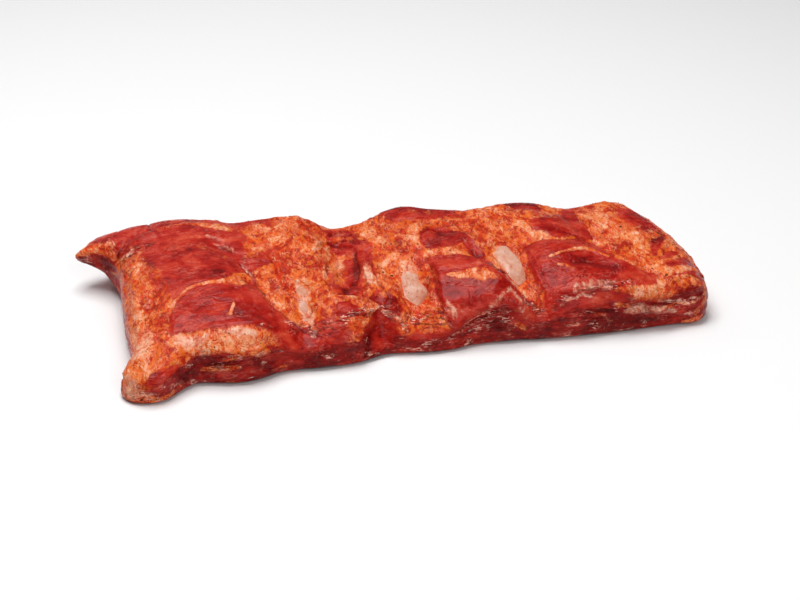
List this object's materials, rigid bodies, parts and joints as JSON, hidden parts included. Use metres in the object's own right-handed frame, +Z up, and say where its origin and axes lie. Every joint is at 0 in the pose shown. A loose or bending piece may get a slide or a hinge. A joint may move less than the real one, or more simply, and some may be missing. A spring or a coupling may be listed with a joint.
{
  "type": "raw beef spare ribs",
  "caption": "Rack of raw beef spare ribs: one uneven slab of marinated meat with rib bones showing through the fat.",
  "frame": {"origin": "middle of the footprint, on the table", "axes": "+X along the rack, across the ribs; +Y from the thin edge towards the thick edge, along the ribs; +Z up"},
  "size_m": [0.356, 0.1664, 0.0436],
  "materials": {
    "raw_meat": "wet, marinated, marbled with orange fat",
    "bare_bone": "wet, smooth, pinkish white"
  },
  "bodies": {
    "root": {"meat": "raw_meat", "rib_bone_left": "bare_bone", "rib_bone_middle": "bare_bone", "rib_bone_right": "bare_bone"}
  },
  "joints": []
}
